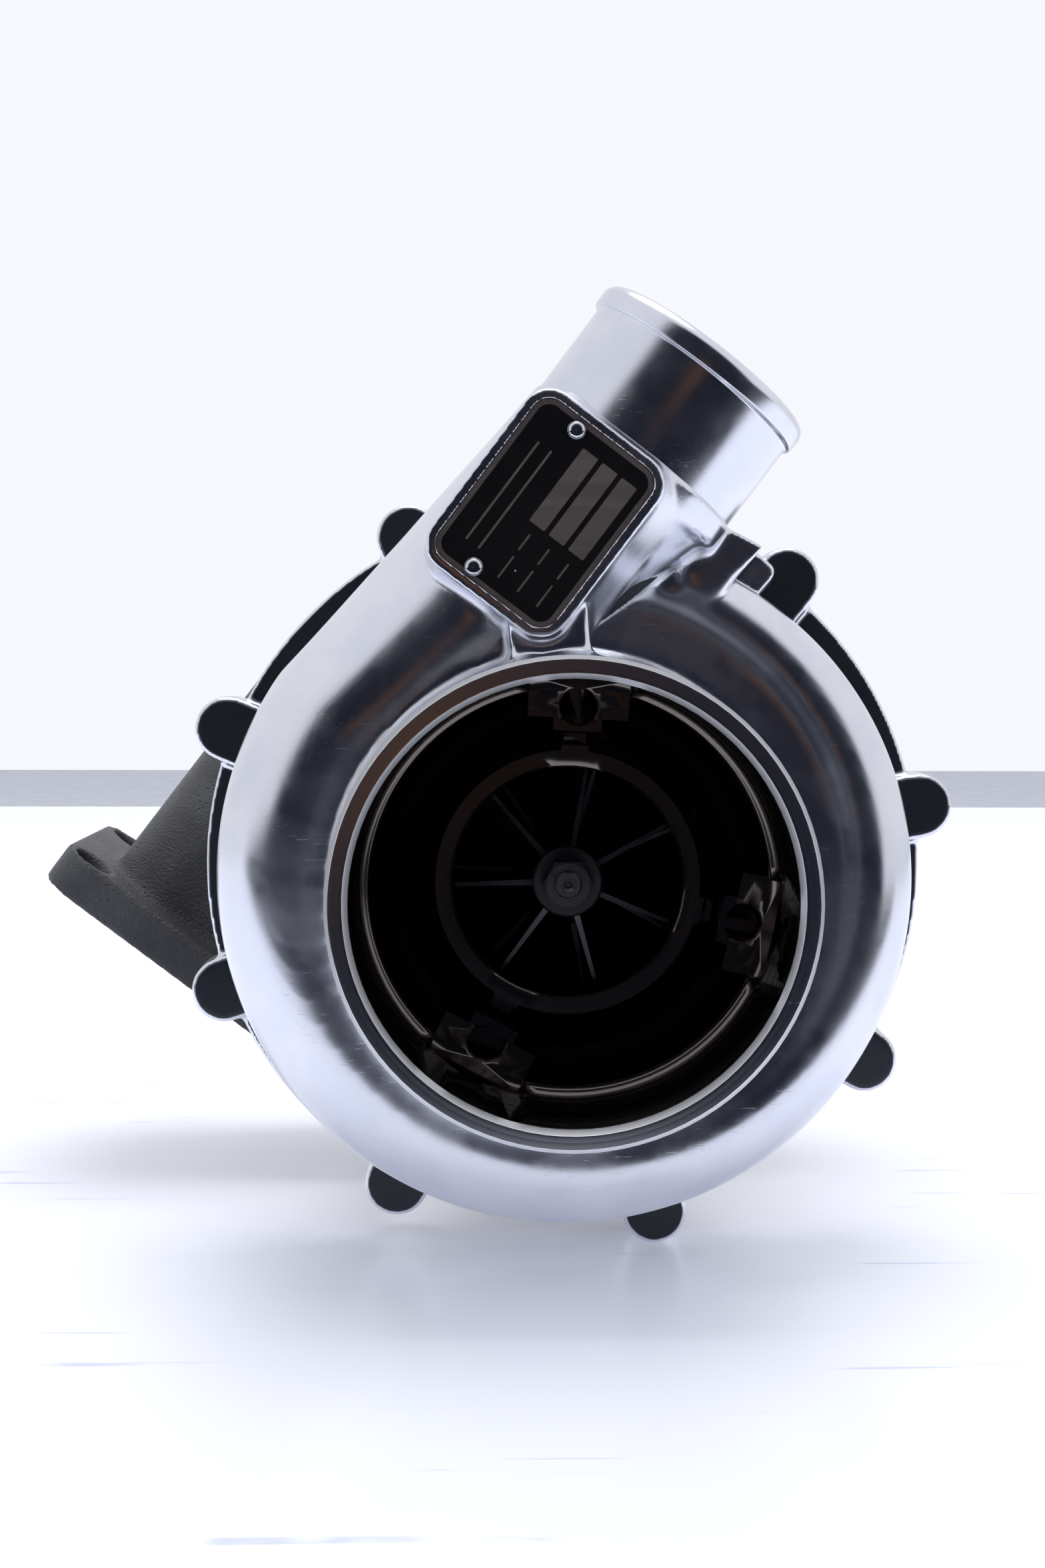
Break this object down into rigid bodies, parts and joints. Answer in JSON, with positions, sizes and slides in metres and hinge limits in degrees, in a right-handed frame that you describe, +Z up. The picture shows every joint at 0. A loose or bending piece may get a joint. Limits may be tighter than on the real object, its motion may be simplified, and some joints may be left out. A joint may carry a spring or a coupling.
{
  "type": "turbocharger",
  "caption": "Exhaust turbocharger: cast aluminium compressor cover with ported inlet and scroll outlet, iron centre housing, turbine housing with side foot, and a spinning rotor.",
  "frame": {"origin": "centre of the compressor inlet's rim, on the shaft axis", "axes": "+Y along the shaft from the compressor inlet to the turbine outlet, +Z up, +X to the right seen from the inlet"},
  "size_m": [0.2271, 0.213, 0.2212],
  "materials": {
    "cast_aluminium": "polished casting",
    "machined_aluminium": "machined",
    "plate_enamel": "black enamel with a bare border",
    "rivet_steel": "bright",
    "shaft_steel": "ground",
    "dark_steel": "black oxide",
    "turbine_alloy": "cast nickel alloy",
    "grey_iron": "rough sand casting",
    "dark_iron": "rough sand casting",
    "bearing_bronze": "turned",
    "seal_rubber": "matt"
  },
  "bodies": {
    "housing": {"compressor_cover": "cast_aluminium", "nameplate": "plate_enamel", "nameplate_rivets": "rivet_steel", "back_plate": "machined_aluminium", "cover_oring": "seal_rubber", "back_plate_oring": "seal_rubber", "back_plate_screws": "dark_steel", "compressor_clamps": "dark_steel", "cover_bolts": "dark_steel", "bearing_housing": "grey_iron", "thrust_bearing": "bearing_bronze", "thrust_pins": "shaft_steel", "bearing_snap_rings": "dark_steel", "compressor_piston_ring": "dark_steel", "turbine_piston_ring": "dark_steel", "heat_shield": "turbine_alloy", "turbine_housing": "dark_iron", "turbine_clamps": "dark_steel", "turbine_bolts": "dark_steel"},
    "rotor": {"compressor_wheel": "machined_aluminium", "wheel_locknut": "dark_steel", "turbine_shaft": "shaft_steel", "oil_flinger": "shaft_steel", "thrust_collar": "shaft_steel", "turbine_wheel": "turbine_alloy"},
    "front_bearing": {"front_journal_bearing": "bearing_bronze"},
    "rear_bearing": {"rear_journal_bearing": "bearing_bronze"}
  },
  "joints": [
    {"name": "rotor_spin", "type": "hinge", "parent": "housing", "child": "rotor", "pos_m": [0, 0.118, 0], "axis": [0, 1, 0], "continuous": true},
    {"name": "front_bearing_spin", "type": "hinge", "parent": "housing", "child": "front_bearing", "pos_m": [0, 0.1046, 0], "axis": [0, 1, 0], "continuous": true},
    {"name": "rear_bearing_spin", "type": "hinge", "parent": "housing", "child": "rear_bearing", "pos_m": [0, 0.132, 0], "axis": [0, 1, 0], "continuous": true}
  ],
  "couplings": [
    {"joint": "front_bearing_spin", "follows": "rotor_spin", "ratio": 0.3},
    {"joint": "rear_bearing_spin", "follows": "rotor_spin", "ratio": 0.3}
  ]
}
